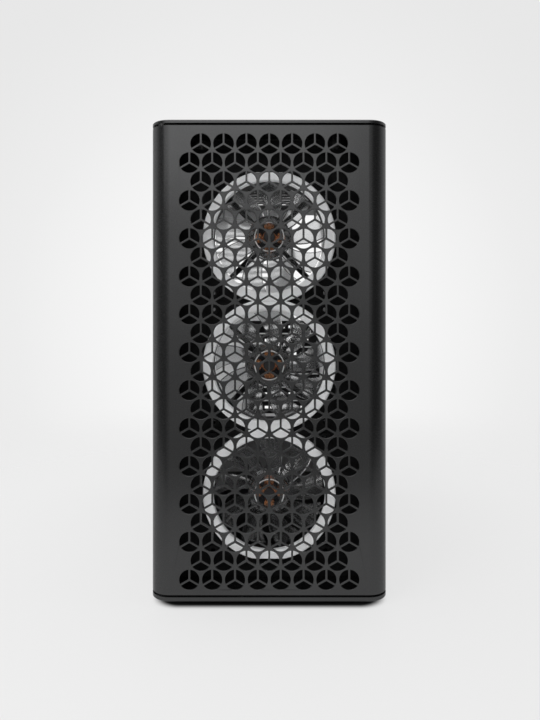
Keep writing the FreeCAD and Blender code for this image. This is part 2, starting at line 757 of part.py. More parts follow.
def lid_plate():
    """The lid with its vent cells and the window for buttons and ports."""
    low = float(lid_low)

    def place(u, v):
        return Vector(u, v, low)

    rim = rounded_rim(float(-half_width), float(half_width), float(front), float(rear),
                      float(dim.corner_radius), float(dim.rear_radius), low)
    start = float(slot_start) + float(dim.cell_radius)
    room = float(rear_in) - 30 - 2 * float(dim.cell_radius) - float(slot_start)
    rows = int(room / float(dim.row_pitch)) + 1
    openings = cell_field(0, start, 7, rows, place)
    openings.append(strip_outline((STRIP_MIDDLE, float(io_depth)), STRIP_LENGTH / 2, STRIP_WIDTH / 2, low))
    plate = Part.Face([rim] + openings).extrude(Vector(0, 0, float(dim.lid_thickness)))
    top = float(dim.case_height) - 0.01
    side = float(half_width) - 0.01
    end = float(rear) - 0.01

    def on_rim(edge):
        bounds = edge.BoundBox
        wide = bounds.XMax > side or bounds.XMin < -side
        return bounds.ZMin > top and (wide or bounds.YMax > end or bounds.YMin < -end)

    return plate.makeChamfer(float(dim.edge_bevel), [edge for edge in plate.Edges if on_rim(edge)])


node(shaped("lid_plate", lid_plate()), "top_lid")

# Buttons and ports under the lid
BOARD_SHEET = 1.6
io_floor = top_high + BOARD_SHEET
bezel_top = lid_low - 0.2
strip_ends = (as_size(STRIP_MIDDLE - STRIP_LENGTH / 2 - 2), as_size(STRIP_MIDDLE + STRIP_LENGTH / 2 + 2))
strip_sides = (io_depth - STRIP_WIDTH / 2 - 2, io_depth + STRIP_WIDTH / 2 + 2)
board = box("io_board_plate", strip_ends, strip_sides, (top_high, io_floor))
button_low = io_floor + 3.4
BUTTON_FLANGE = 1.2
FLANGE_HEIGHT = 1.0
switch_top = button_low - dim.button_travel - 0.2
BUTTONS = (("power", POWER_X, POWER_RADIUS), ("reset", RESET_X, RESET_RADIUS))
switches = [box("switch_%s" % name, (as_size(x - 1.6), as_size(x + 1.6)), (io_depth - 1.6, io_depth + 1.6),
                (io_floor, switch_top)) for name, x, radius in BUTTONS]
node(fuse("io_board_joined", [board] + switches), "io_board")

USB_A_HALF = (6.55, 2.85)
USB_C_HALF = (4.47, 1.63)
bezel_block = box("bezel_block", strip_ends, strip_sides, (io_floor, bezel_top))
bezel_tools = []
for name, x, radius in BUTTONS:
    bezel_tools.append(rod("bezel_bore_" + name, "z", radius + FIT, 30, x, io_depth, io_floor - 1))
    bezel_tools.append(rod("bezel_well_" + name, "z", radius + BUTTON_FLANGE + FIT,
                           button_low + FLANGE_HEIGHT + 0.05 - io_floor + 1, x, io_depth, io_floor - 1))
for name, x, half in (("usb_a_1", USB_A_XS[0], USB_A_HALF), ("usb_a_2", USB_A_XS[1], USB_A_HALF),
                      ("usb_c", USB_C_X, USB_C_HALF)):
    bezel_tools.append(box("bezel_port_" + name, (as_size(x - half[0] - FIT), as_size(x + half[0] + FIT)),
                           (io_depth - half[1] - FIT, io_depth + half[1] + FIT),
                           (io_floor - 1, bezel_top + 1)))
bezel_tools.append(rod("bezel_jack", "z", JACK_RADIUS + FIT, 30, AUDIO_X, io_depth, io_floor - 1))
node(cut("bezel_cut", bezel_block, bezel_tools), "io_bezel")
cap_height = bezel_top - button_low
for name, x, radius in BUTTONS:
    cap = turned(name + "_button_form", [
        (0, 0), (radius + BUTTON_FLANGE, 0), (radius + BUTTON_FLANGE, FLANGE_HEIGHT), (radius, FLANGE_HEIGHT),
        (radius, cap_height - 0.5), (radius - 0.5, cap_height), (radius * 0.6, cap_height),
        (0, cap_height - 0.4)])
    node(copy_of(name + "_button_placed", cap, x, io_depth, button_low), name + "_button")


def port_shell(name, x, half, wall, tongue_x, tongue_y):
    """An upright socket with its tongue, open at the top."""
    shell = box(name + "_shell", (as_size(x - half[0]), as_size(x + half[0])),
                (io_depth - half[1], io_depth + half[1]), (io_floor, bezel_top))
    well = box(name + "_well", (as_size(x - half[0] + wall), as_size(x + half[0] - wall)),
               (io_depth - half[1] + wall, io_depth + half[1] - wall), (io_floor + 1.5, bezel_top + 1))
    tongue = box(name + "_tongue", (as_size(x - tongue_x), as_size(x + tongue_x)),
                 (io_depth - tongue_y, io_depth + tongue_y), (io_floor + 1, bezel_top - 1.5))
    return fuse(name + "_whole", [cut(name + "_hollow", shell, [well]), tongue])


ports = [port_shell("usb_a_%d" % index, x, USB_A_HALF, 0.4, 5.5, 0.95)
         for index, x in enumerate(USB_A_XS, start=1)]
ports.append(port_shell("usb_c", USB_C_X, USB_C_HALF, 0.35, 3.35, 0.35))
node(group("usb_all", ports), "usb_ports")
jack_height = bezel_top - io_floor
JACK_BORE = 1.8
jack = turned("audio_jack_form", [
    (0, 0), (JACK_RADIUS, 0), (JACK_RADIUS, jack_height), (JACK_BORE, jack_height), (JACK_BORE, 1), (0, 1)])
node(copy_of("audio_jack_placed", jack, AUDIO_X, io_depth, io_floor), "audio_jack")

# Side panels
side_front = return_end + dim.panel_gap
side_rear = rear - 1
glass_block = box("glass_block", (-half_width, -half_width + dim.glass), (side_front, side_rear),
                  (skin_low, skin_high))
node(bevelled("glass_bevel", glass_block, lambda point: point.x < float(-half_width) + 0.01, 0.8),
     "left_glass")
strips = [box("glass_strip_" + name, (-half_width + dim.glass, -strip_face), (y - 7, y + 7),
              (skin_low + 8, skin_high - 8))
          for name, y in (("front", side_stud_front), ("rear", side_stud_rear))]
node(group("glass_strips_all", strips), "left_glass_strips")
right_sheet = box("right_sheet", (half_width - dim.side_depth + dim.seat_gap, half_width),
                  (side_front, side_rear), (skin_low, skin_high))
right_bevel = bevelled("right_bevel", right_sheet, lambda point: point.x > float(half_width) - 0.01, 0.6)
right_hollow = box("right_hollow", (half_width - dim.side_depth - 1, half_width - dim.steel),
                   (side_front + dim.steel, side_rear - dim.steel),
                   (skin_low + dim.steel, skin_high - dim.steel))
node(cut("right_cut", right_bevel, [right_hollow]), "right_side_panel")

# Fans: forms at the origin with the air moving along Y, then three copies of each
ring_back = dim.ring_depth
half_fan = dim.fan_size / 2
FLANGE = 3.5


def square_flange(name, low, high):
    plate = box(name, (-half_fan, half_fan), (low, high), (-half_fan, half_fan))
    result = rounded(name + "_round", plate, lambda point: True, 6)
    result.Edges = [entry for entry in result.Edges
                    if plate.Shape.Edges[entry[0] - 1].BoundBox.YLength > 1]
    return result


frame_items = [
    square_flange("fan_flange_front", ring_back, ring_back + FLANGE),
    square_flange("fan_flange_rear", dim.fan_depth - FLANGE, dim.fan_depth),
    rod("fan_tube", "y", dim.duct_radius + 2.4, dim.fan_depth - ring_back, 0, ring_back, 0),
]
for x in (-hole_half, hole_half):
    for z in (-hole_half, hole_half):
        frame_items.append(rod("fan_post_%d" % len(frame_items), "y", 5, dim.fan_depth, x, 0, z))
frame_solid = fuse("fan_frame_solid", frame_items)
frame_bore = rod("fan_bore", "y", dim.duct_radius, dim.fan_depth + 2, 0, as_size(-1), 0)
ring_room = rod("fan_ring_room", "y", dim.ring_radius + 0.1, ring_back + 1, 0, as_size(-1), 0)
post_bores = [rod("fan_post_bore_%d_%d" % (x, z), "y", 2.2, dim.fan_depth + 2, hole_half * x, as_size(-1),
                  hole_half * z) for x in (-1, 1) for z in (-1, 1)]
frame_shell = cut("fan_frame_ring", cut("fan_frame_bored", frame_solid, [frame_bore]),
                  [ring_room])
frame_drilled = cut("fan_frame_drilled", frame_shell, post_bores)
HUB_PLATE = 2.5
hub_front = dim.fan_depth - HUB_PLATE
boss_radius = 4.0
hub_disc = rod("fan_hub_disc", "y", dim.hub_radius + 0.5, HUB_PLATE, 0, hub_front, 0)
boss = rod("fan_boss", "y", boss_radius, hub_front - 8, 0, as_size(8), 0)
arms = []
for index in range(4):
    arm = doc.addObject("Part::Box", "fan_arm_%d" % index)
    bind(arm, "Length", dim.duct_radius + 1 - dim.hub_radius)
    bind(arm, "Width", HUB_PLATE)
    arm.Height = 5
    turn = Rotation(AXES["y"], 45 + 90 * index)
    arm.Placement = Placement(Vector(0, 0, 0), turn)
    along = turn.multVec(Vector(1, 0, 0))
    across = turn.multVec(Vector(0, 0, 1))
    move(arm, dim.hub_radius * along.x - 2.5 * across.x, hub_front,
         dim.hub_radius * along.z - 2.5 * across.z)
    arms.append(arm)
frame_spider = fuse("fan_frame_spider", [frame_drilled, hub_disc, boss] + arms)
bearing = rod("fan_bearing", "y", dim.shaft_radius + dim.shaft_play, dim.fan_depth - 9, 0, as_size(7), 0)
frame_form = cut("fan_frame_form", frame_spider, [bearing])

ring_turned = turned("ring_form", [
    (dim.ring_inner, 0.9), (dim.ring_inner + 0.9, 0), (dim.ring_radius - 0.9, 0), (dim.ring_radius, 0.9),
    (dim.ring_radius, dim.ring_depth), (dim.ring_inner, dim.ring_depth)])
# The ring is wider than the fan's pitch, so it has a flat above and below
ring_limit = (dim.fan_pitch - dim.ring_gap) / 2
ring_trims = [box("ring_trim_" + name, (-dim.ring_radius - 1, dim.ring_radius + 1),
                  (as_size(-1), dim.ring_depth + 1), span)
              for name, span in (("top", (ring_limit, ring_limit + dim.ring_radius)),
                                 ("low", (-ring_limit - dim.ring_radius, -ring_limit)))]
HUB_FACE = 2.0
hub_turned = turned("hub_form", [
    (dim.cap_radius + 0.1, HUB_FACE), (dim.hub_radius - 1.2, HUB_FACE), (dim.hub_radius, HUB_FACE + 1.2),
    (dim.hub_radius, hub_front - 1), (dim.hub_radius - 1.8, hub_front - 1),
    (dim.hub_radius - 1.8, HUB_FACE + 2.6),
    (dim.cap_radius - 1.2, HUB_FACE + 2.6), (dim.cap_radius - 1.2, HUB_FACE + 1.8),
    (dim.cap_radius + 0.1, HUB_FACE + 1.8)])
cap_turned = turned("cap_form", [
    (dim.shaft_radius + 0.05, HUB_FACE + 0.2), (dim.cap_radius - 0.6, HUB_FACE + 0.2),
    (dim.cap_radius, HUB_FACE + 0.8), (dim.cap_radius, HUB_FACE + 1.8),
    (dim.shaft_radius + 0.05, HUB_FACE + 1.8)])
shaft_turned = turned("shaft_form", [
    (0, HUB_FACE - 0.8), (4.6, HUB_FACE - 0.8), (5.4, HUB_FACE - 0.2), (5.4, HUB_FACE + 0.2),
    (dim.shaft_radius, HUB_FACE + 0.2), (dim.shaft_radius, dim.fan_depth - 2.6), (0, dim.fan_depth - 2.6)])

BLADES = 9
# Reach, chord, pitch in degrees and sweep in degrees of three blade sections
root_reach = float(dim.hub_radius) - 1.1
tip_reach = float(dim.blade_radius) + 1.5
SECTIONS = ((root_reach, 14.5, 42.0, 0.0), ((root_reach + tip_reach) / 2, 21.0, 34.0, 5.0),
            (tip_reach, 28.0, 26.0, 15.0))


def blade_section(reach, chord, pitch, sweep):
    """A thin curved section across the blade at one reach from the axis."""
    out = Vector(math.cos(math.radians(sweep)), 0, math.sin(math.radians(sweep)))
    along = Vector(-out.z, 0, out.x)
    lean = math.radians(pitch)
    chord_way = along * math.cos(lean) + Vector(0, math.sin(lean), 0)
    thick_way = along * -math.sin(lean) + Vector(0, math.cos(lean), 0)
    middle = out * reach + Vector(0, float(dim.fan_depth) * 0.46, 0)
    half = 0.8
    camber = chord * 0.09

    def at(part, rise):
        return middle + chord_way * (part * chord) + thick_way * rise

    edges = [
        Part.Arc(at(-0.5, -half), at(0, camber - half), at(0.5, -half)).toShape(),
        Part.LineSegment(at(0.5, -half), at(0.5, half)).toShape(),
        Part.Arc(at(0.5, half), at(0, camber + half), at(-0.5, half)).toShape(),
        Part.LineSegment(at(-0.5, half), at(-0.5, -half)).toShape(),
    ]
    return Part.Wire(edges)


def fan_blades():
    blade = Part.makeLoft([blade_section(*entry) for entry in SECTIONS], True, False)
    limit = Part.makeCylinder(float(dim.blade_radius), 60, Vector(0, -20, 0), Vector(0, 1, 0))
    blade = blade.common(limit).Solids[0]
    copies = []
    for index in range(BLADES):
        turned_blade = blade.copy()
        turned_blade.rotate(Vector(0, 0, 0), Vector(0, 1, 0), 360 * index / BLADES)
        copies.append(turned_blade)
    return Part.makeCompound(copies)


def lying(name, form):
    """A turned form laid down so that its axis runs along Y."""
    return copy_of(name, form, 0, 0, 0, TO_REAR)


ring_form = cut("ring_trimmed", lying("ring_lying", ring_turned), ring_trims)
rotor_form = fuse("rotor_form", [lying("hub_lying", hub_turned), shaped("blades", fan_blades())])

core_items = [rod("core_tube", "y", boss_radius + 2.6, hub_front - 10, 0, as_size(10), 0)]
coil_items = []
for index in range(4):
    turn = Rotation(AXES["y"], 90 * index)
    for kind, low, high, half, near, far in (("arm", 4.6, 15.0, 2.2, 11.0, 16.0),
                                             ("coil", 7.4, 13.4, 4.8, 8.6, 18.4)):
        block = doc.addObject("Part::Box", "stator_%s_%d" % (kind, index))
        block.Length = high - low
        block.Width = far - near
        block.Height = 2 * half
        block.Placement = Placement(turn.multVec(Vector(low, near, -half)), turn)
        if kind == "arm":
            core_items.append(block)
        else:
            coil_items.append(rounded("stator_coil_round_%d" % index, block, lambda point: True, 1.6))
stator_bore = rod("stator_bore", "y", boss_radius + 0.05, dim.fan_depth, 0, as_size(5), 0)
stator_form = cut("stator_form", fuse("stator_solid", core_items + coil_items), [stator_bore])

fan_forms = (("frame", frame_form), ("ring", ring_form), ("rotor", rotor_form),
             ("hub_cap", lying("cap_lying", cap_turned)), ("shaft", lying("shaft_lying", shaft_turned)),
             ("windings", stator_form))
for number, height in enumerate(fan_heights, start=1):
    for kind, form in fan_forms:
        node(copy_of("fan_%d_%s_placed" % (number, kind), form, 0, fan_front, height),
             "fan_%d_%s" % (number, kind))
fan_screw = turned("fan_screw_form", [
    (0, -9), (2.05, -9), (2.05, 0), (4, 0), (4, 1.4), (3, 2.2), (0, 2.2)])
fan_screws = []
for height in fan_heights:
    for x in (-hole_half, hole_half):
        for z in (-hole_half, hole_half):
            fan_screws.append(copy_of("fan_screw_%d" % len(fan_screws), fan_screw, x, frame_back,
                                      height + z, TO_REAR))
node(group("fan_screws_all", fan_screws), "fan_screws")

# Drive cage and its trays in the power supply bay
cage_front = frame_back + dim.flange + 2
CAGE_DEPTH = 112.0
cage_back = cage_front + CAGE_DEPTH
cage_middle = (cage_front + cage_back) / 2
cage_left = chassis_half - 152
cage_right = chassis_half - 6
cage_top = base_high + 6 + 2 * dim.drive_bay
cage_items = [
    box("cage_wall_front", (cage_left, cage_right), (cage_front, cage_front + 1), (base_high, cage_top)),
    box("cage_wall_back", (cage_left, cage_right), (cage_back - 1, cage_back), (base_high, cage_top)),
    box("cage_roof", (cage_left, cage_right), (cage_front, cage_back), (cage_top - 1, cage_top)),
]
tray_floors = [base_high + 4 + dim.drive_bay * index for index in range(2)]
for index, floor in enumerate(tray_floors, start=1):
    for name, low in (("front", cage_front + 1), ("back", cage_back - 5)):
        cage_items.append(box("runner_%s_%d" % (name, index), (cage_left, cage_right - 4), (low, low + 4),
                              (floor - 2, floor)))
node(fuse("cage_joined", cage_items), "drive_cage")
for index, floor in enumerate(tray_floors, start=1):
    inside = (cage_front + 1.5, cage_back - 1.5)
    items = [box("drive_floor_%d" % index, (cage_left + 2, cage_right), inside, (floor, floor + 2))]
    for name, low in (("front", inside[0]), ("back", inside[1] - 2.2)):
        items.append(box("drive_rail_%s_%d" % (name, index), (cage_left + 2, cage_right), (low, low + 2.2),
                         (floor + 2, floor + 18)))
    items.append(box("drive_bezel_%d" % index, (cage_right, cage_right + 3), inside, (floor, floor + 26)))
    grip = box("drive_grip_%d" % index, (cage_right - 1, cage_right + 4),
               (cage_middle - 18, cage_middle + 18), (floor + 10, floor + 18))
    vents = []
    for place in range(4):
        low = cage_left + 20 + place * 30
        vents.append(box("drive_vent_%d_%d" % (index, place), (low, low + 18),
                         (cage_middle - 30, cage_middle + 30), (floor - 1, floor + 3)))
    node(cut("drive_tray_cut_%d" % index, fuse("drive_tray_joined_%d" % index, items), [grip] + vents),
         "drive_tray_%d" % index)

doc.recompute()
faulty = [item.Name for item in doc.Objects if "Invalid" in item.State or "Error" in item.State]
if faulty:
    raise RuntimeError("objects that did not build: " + ", ".join(faulty))
for item in nodes:
    if item.Shape.isNull() or not item.Shape.isValid():
        raise RuntimeError("no valid shape: " + item.Label)
    item.Shape.exportStep("parts/" + item.Label + ".step")
print(len(nodes), "sub-parts")
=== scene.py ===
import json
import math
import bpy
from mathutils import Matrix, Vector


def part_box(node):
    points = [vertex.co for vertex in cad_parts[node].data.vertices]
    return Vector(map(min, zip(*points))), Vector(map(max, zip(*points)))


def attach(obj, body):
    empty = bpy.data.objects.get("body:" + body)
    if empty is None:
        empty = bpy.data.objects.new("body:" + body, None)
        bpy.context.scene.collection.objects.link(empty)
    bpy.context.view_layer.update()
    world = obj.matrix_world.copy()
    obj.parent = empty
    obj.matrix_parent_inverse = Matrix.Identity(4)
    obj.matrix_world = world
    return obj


bl_info = {
    "name": "ATX Case Finishes",
    "version": (1, 0, 0),
    "blender": (4, 5, 0),
    "location": "View3D > Sidebar > ATX Case",
    "description": "Finishes, small fittings and studio for a tower case with a cell grille front",
    "category": "Object",
}

import bmesh
import bpy
from bpy.props import FloatProperty, FloatVectorProperty, PointerProperty
from mathutils import Matrix, Vector

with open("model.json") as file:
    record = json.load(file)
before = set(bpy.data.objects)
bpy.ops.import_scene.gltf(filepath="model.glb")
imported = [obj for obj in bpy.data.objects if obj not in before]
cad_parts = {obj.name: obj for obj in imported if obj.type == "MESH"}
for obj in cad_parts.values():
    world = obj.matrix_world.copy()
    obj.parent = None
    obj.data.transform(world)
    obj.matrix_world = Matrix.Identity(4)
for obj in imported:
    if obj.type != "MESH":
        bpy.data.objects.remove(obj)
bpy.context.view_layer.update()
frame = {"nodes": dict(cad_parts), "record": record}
NODES = frame["nodes"]
FANS = (1, 2, 3)
SLOTS = range(1, 8)

# Softened edges, in metres
WELD_REACH = 0.000002
SHARP_ANGLE = math.radians(38)
FINE_EDGE = 0.0001
TURNED_EDGE = 0.00015
SHEET_EDGE = 0.0002
MOULDED_EDGE = 0.0003
SOFT_EDGE = 0.0004
GROMMET_EDGE = 0.0006
ROUND_STEPS = 2

# Small fittings, in metres, with the outer and the inner radius of their corners
CORNER_STEPS = 6
BORDER_MARGIN = 0.0015
BORDER_LIFT = 0.00001
BORDER_THICKNESS = 0.00006
BORDER_CORNERS = (0.003, 0.004)
GROMMET_STAND = 0.0009
GROMMET_THICKNESS = 0.0028
GROMMET_CORNERS = (0.0045, 0.0015)
TRIM_WIRE = 0.0005
TRIM_GAP = 0.0006
TRIM_LIFT = 0.0002
TRIM_SIDES = 12
TRIM_STEPS = 72
TRIM_MERGE = 0.000001

# Colours of the small fittings
ENAMEL_COLOUR = (0.006, 0.006, 0.0065)
STEEL_COLOUR = (0.6, 0.6, 0.61)
BRASS_COLOUR = (0.78, 0.58, 0.28)
RUBBER_COLOUR = (0.02, 0.02, 0.02)
NET_COLOUR = (0.03, 0.03, 0.03)
FAN_COLOUR = (0.004, 0.004, 0.0042)
SMOKE_COLOUR = (0.06, 0.06, 0.065)
HUB_TRIM_COLOUR = (0.75, 0.755, 0.76)
SHAFT_COLOUR = (0.02, 0.02, 0.022)
BUTTON_COLOUR = (0.16, 0.16, 0.165)
GUIDE_COLOUR = (0.02, 0.02, 0.021)
PORT_COLOUR = (0.58, 0.58, 0.6)
BOARD_COLOUR = (0.012, 0.03, 0.018)

# Share of a pattern's range that shades a finish, and how broken up its noise is
PATTERN_SPAN = (0.3, 0.7)
NOISE_ROUGHNESS = 0.55

# Studio floor, in metres
FLOOR_RADIUS = 3
FLOOR_SIDES = 96
FLOOR_ROUGHNESS = 0.6
# The contact values shape a shadow painted into the floor's colour under and round the base
CONTACT_CORNER = 0.024
CONTACT_BLUR = 0.006
CONTACT_INSET = (0.003, 0, 0)
PAINTED_SHADOW_TINT = 0.02
FADE_AWAY = (0.2, 1.2)
FADE_AHEAD = (-0.4, -0.66)

# Brightness of the room by the sideways, upward and rearward part of the direction
FRONT_SIDE = ((0.0, 0.7), (0.1, 0.88), (0.17, 1.0), (0.24, 0.92), (0.3, 0.7), (0.38, 0.32),
              (0.46, 0.08), (0.85, 0.07), (1.0, 0.3))
FRONT_RISE = ((-1.0, 0.3), (-0.6, 0.34), (-0.386, 0.36), (-0.27, 0.3), (-0.125, 0.41),
              (0.028, 0.85), (0.13, 1.0), (0.2, 1.0), (0.3, 0.86), (0.5, 0.85), (1.0, 0.6))
REAR_DEPTH = ((0.0, 0.75), (0.2, 0.95), (0.4, 0.95), (0.7, 0.82), (0.86, 0.79), (0.93, 0.85),
              (0.965, 0.9), (1.0, 0.97))
FRONT_TO_REAR = (-0.35, 0.3)

# Lamps by name, place, target, width, height and power, and whether gloss mirrors them
LAMPS = (
    ("front_softbox", (-0.42, -1.5, 1.05), (0, -0.2, 0.35), 1.5, 0.8, 4.8, True),
    ("top_softbox", (0, -0.1, 1.9), (0, -0.1, 0.2), 1.4, 1.0, 12, True),
    ("left_softbox", (-1.5, 0.2, 0.6), (0, 0.05, 0.25), 1.2, 1.02, 7, False),
    ("right_softbox", (1.5, 0.2, 0.6), (0, 0.05, 0.25), 1.2, 1.02, 6, False),
    ("key_softbox", (-0.9, -1.0, 0.6), (0, 0.1, 0.27), 0.8, 0.68, 9, False),
)

# Camera, with its sensor in millimetres and its shift in shares of the picture's height
SENSOR_WIDTH = 36
CAMERA_SHIFT = (0.001, -43.5 / 720)


# Shader helpers
class Wiring:
    """Adds and joins the nodes of one tree."""

    def __init__(self, tree):
        self.tree = tree

    def add(self, kind, **settings):
        item = self.tree.nodes.new(kind)
        for key, value in settings.items():
            setattr(item, key, value)
        return item

    def join(self, source, target):
        self.tree.links.new(source, target)

    def calculate(self, kind, operation, values):
        """A maths node, where a value is a socket to join or a number to set."""
        item = self.add(kind, operation=operation)
        for socket, value in zip(item.inputs, values):
            if isinstance(value, bpy.types.NodeSocket):
                self.join(value, socket)
            else:
                socket.default_value = value
        return item

    def maths(self, operation, *values):
        return self.calculate("ShaderNodeMath", operation, values).outputs["Value"]

    def vector(self, operation, *values):
        return self.calculate("ShaderNodeVectorMath", operation, values).outputs["Vector"]

    def length(self, value):
        return self.calculate("ShaderNodeVectorMath", "LENGTH", (value,)).outputs["Value"]

    def split(self, value):
        item = self.add("ShaderNodeSeparateXYZ")
        self.join(value, item.inputs["Vector"])
        return item.outputs

    def remap(self, source, span, low=0.0, high=1.0, curve="LINEAR"):
        """Carry a span of values over to low and high."""
        item = self.add("ShaderNodeMapRange", interpolation_type=curve)
        item.inputs["From Min"].default_value = span[0]
        item.inputs["From Max"].default_value = span[1]
        item.inputs["To Min"].default_value = low
        item.inputs["To Max"].default_value = high
        self.join(source, item.inputs["Value"])
        return item.outputs["Result"]

    def ramp(self, source, stops, curve="LINEAR"):
        """Colours at given positions along a value."""
        item = self.add("ShaderNodeValToRGB")
        item.color_ramp.interpolation = curve
        elements = item.color_ramp.elements
        while len(elements) < len(stops):
            elements.new(0.5)
        for element, (position, colour) in zip(elements, stops):
            element.position = position
            element.color = (*colour, 1)
        self.join(source, item.inputs["Fac"])
        return item.outputs["Color"]

    def mix_shaders(self, share, first, second):
        item = self.add("ShaderNodeMixShader")
        self.join(share, item.inputs["Fac"])
        self.join(first, item.inputs[1])
        self.join(second, item.inputs[2])
        return item.outputs["Shader"]


class Finish(Wiring):
    """A Principled material whose patterns run on Object coordinates."""

    def __init__(self, name, colour, metallic, roughness, **extra):
        self.material = bpy.data.materials.new(name)
        self.material.use_nodes = True
        super().__init__(self.material.node_tree)
        self.shader = self.tree.nodes["Principled BSDF"]
        self.output = self.tree.nodes["Material Output"]
        self.shader.inputs["Base Color"].default_value = (*colour, 1)
        self.shader.inputs["Metallic"].default_value = metallic
        self.shader.inputs["Roughness"].default_value = roughness
        for socket, value in extra.items():
            self.shader.inputs[socket.replace("_", " ")].default_value = value
        self.place = self.add("ShaderNodeTexCoord").outputs["Object"]

    def noise(self, scale, detail):
        item = self.add("ShaderNodeTexNoise")
        item.inputs["Scale"].default_value = scale
        item.inputs["Detail"].default_value = detail
        item.inputs["Roughness"].default_value = NOISE_ROUGHNESS
        self.join(self.place, item.inputs["Vector"])
        return item.outputs["Fac"]

    def bands(self, direction, scale):
        item = self.add("ShaderNodeTexWave", wave_type="BANDS", bands_direction=direction)
        item.inputs["Scale"].default_value = scale
        self.join(self.place, item.inputs["Vector"])
        return item

    def colour_from(self, source, first, second):
        stops = zip(PATTERN_SPAN, (first, second))
        self.join(self.ramp(source, tuple(stops)), self.shader.inputs["Base Color"])

    def roughness_from(self, source, low, high):
        self.join(self.remap(source, PATTERN_SPAN, low, high), self.shader.inputs["Roughness"])

    def bump_from(self, source, strength, distance):
        item = self.add("ShaderNodeBump")
        item.inputs["Strength"].default_value = strength
        item.inputs["Distance"].default_value = distance
        self.join(source, item.inputs["Height"])
        self.join(item.outputs["Normal"], self.shader.inputs["Normal"])


def tint(colour, amount):
    """A colour made lighter or darker by a factor."""
    return tuple(min(1.0, channel * amount) for channel in colour)


# Finishes
def charcoal_coat(colour, roughness):
    """Satin metallic paint with a fine grain."""
    finish = Finish("charcoal_coat", colour, metallic=0.85, roughness=roughness,
                    Specular_Tint=(0.75, 0.75, 0.75, 1))
    grain = finish.noise(scale=2200, detail=2)
    cloud = finish.noise(scale=9, detail=4)
    finish.colour_from(cloud, tint(colour, 0.94), tint(colour, 1.06))
    finish.roughness_from(grain, roughness - 0.05, roughness + 0.06)
    finish.bump_from(grain, strength=0.12, distance=0.00012)
    return finish.material


def powder_black(colour):
    """Matt powder coat on inner sheet."""
    finish = Finish("powder_black", colour, metallic=0.0, roughness=0.55,
                    Specular_IOR_Level=0.2)
    grain = finish.noise(scale=1400, detail=3)
    cloud = finish.noise(scale=14, detail=3)
    finish.colour_from(cloud, tint(colour, 0.85), tint(colour, 1.2))
    finish.roughness_from(grain, 0.48, 0.66)
    finish.bump_from(grain, strength=0.25, distance=0.0002)
    return finish.material


def zinc_sheet(colour):
    """Bare zinc coated sheet with a faint flake."""
    finish = Finish("zinc_sheet", colour, metallic=0.1, roughness=0.42)
    flakes = finish.add("ShaderNodeTexVoronoi")
    flakes.inputs["Scale"].default_value = 420
    finish.join(finish.place, flakes.inputs["Vector"])
    channels = finish.add("ShaderNodeSeparateColor")
    finish.join(flakes.outputs["Color"], channels.inputs["Color"])
    finish.colour_from(channels.outputs["Red"], tint(colour, 0.96), tint(colour, 1.03))
    finish.roughness_from(channels.outputs["Green"], 0.38, 0.48)
    finish.bump_from(finish.noise(scale=700, detail=2), strength=0.06, distance=0.0001)
    return finish.material


def moulded_plastic(name, colour, roughness, shine=0.35):
    """Moulded plastic with a spark-eroded grain."""
    finish = Finish(name, colour, metallic=0.0, roughness=roughness,
                    Specular_IOR_Level=shine)
    grain = finish.noise(scale=1800, detail=2)
    cloud = finish.noise(scale=25, detail=3)
    finish.colour_from(cloud, tint(colour, 0.88), tint(colour, 1.12))
    finish.roughness_from(grain, roughness - 0.06, roughness + 0.08)
    finish.bump_from(grain, strength=0.2, distance=0.00015)
    return finish.material


def milky_plastic(colour):
    """White light guide with a faint painted glow that brightens it as falling light would."""
    # The emission is a painted glow that stands in for light on the ring, not light from the fan
    finish = Finish("milky_plastic", colour, metallic=0.0, roughness=0.35,
                    Subsurface_Weight=0.4, Subsurface_Radius=(0.006, 0.006, 0.006),
                    Emission_Color=(0.97, 0.98, 1.0, 1), Emission_Strength=0.12)
    cloud = finish.noise(scale=60, detail=2)
    finish.colour_from(cloud, tint(colour, 0.97), tint(colour, 1.02))
    finish.roughness_from(finish.noise(scale=900, detail=2), 0.3, 0.42)
    return finish.material


def clear_plastic(colour):
    """Clear moulded plastic with a trace of haze."""
    finish = Finish("clear_plastic", colour, metallic=0.0, roughness=0.1,
                    Transmission_Weight=0.97, IOR=1.49, Specular_IOR_Level=0.5)
    cloud = finish.noise(scale=40, detail=3)
    finish.colour_from(cloud, tint(colour, 0.97), tint(colour, 1.02))
    finish.roughness_from(finish.noise(scale=60, detail=2), 0.06, 0.1)
    return finish.material


def smoke_clear(colour):
    """Thin see-through cap with a smoky tint."""
    finish = Finish("smoke_clear", colour, metallic=0.0, roughness=0.12, Alpha=0.1)
    finish.roughness_from(finish.noise(scale=300, detail=2), 0.08, 0.18)
    return finish.material


def side_glass(colour):
    """Tinted glass sheet."""
    finish = Finish("tempered_glass", colour, metallic=0.0, roughness=0.02, Alpha=0.16)
    finish.roughness_from(finish.noise(scale=6, detail=3), 0.01, 0.035)
    return finish.material


def wound_copper(colour):
    """Enamelled wire in close turns, with random darker patches painted so the bright copper
    between them reads as glints.
    """
    finish = Finish("wound_copper", colour, metallic=0.9, roughness=0.26)
    turns = finish.bands("DIAGONAL", scale=150)
    turns.inputs["Distortion"].default_value = 2.5
    turns.inputs["Detail Scale"].default_value = 3
    # Random darker patches, painted so that the bright ones stand in for glints
    finish.colour_from(finish.noise(scale=240, detail=2), tint(colour, 0.45), colour)
    finish.bump_from(turns.outputs["Fac"], strength=0.7, distance=0.0009)
    return finish.material


def turned_metal(name, colour, roughness):
    """Bare metal with faint marks of the tool."""
    finish = Finish(name, colour, metallic=1.0, roughness=roughness)
    cloud = finish.noise(scale=300, detail=3)
    finish.colour_from(cloud, tint(colour, 0.9), tint(colour, 1.08))
    grain = finish.noise(scale=1200, detail=2)
    finish.roughness_from(grain, roughness - 0.06, roughness + 0.08)
    return finish.material


